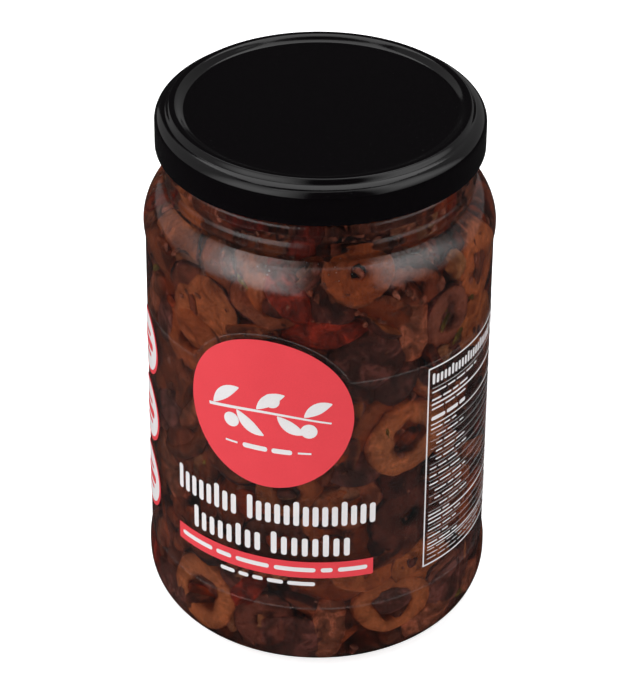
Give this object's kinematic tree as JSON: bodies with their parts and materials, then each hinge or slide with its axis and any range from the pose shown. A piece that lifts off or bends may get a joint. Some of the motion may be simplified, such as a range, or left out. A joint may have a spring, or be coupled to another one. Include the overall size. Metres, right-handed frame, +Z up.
{
  "type": "jar of olives",
  "caption": "Tall round glass jar of sliced dark olives in brine, shut by a black twist-off metal lid, with a clear wrap-round label carrying a round red field and white print blocks.",
  "frame": {"origin": "centre of the bearing ring that the jar stands on", "axes": "+Z up along the jar's axis, -Y towards the front of the label, +X to the right of someone facing the front"},
  "size_m": [0.0746, 0.0746, 0.1213],
  "materials": {
    "clear_glass": "smooth clear moulded glass",
    "black_lacquer": "glossy black lacquer on tinplate",
    "dark_brine": "dark reddish brown brine packed with sliced olives",
    "clear_film": "thin clear film with red and white print"
  },
  "bodies": {
    "root": {"glass_jar": "clear_glass", "lid": "black_lacquer", "brine": "dark_brine", "label": "clear_film"}
  },
  "joints": []
}
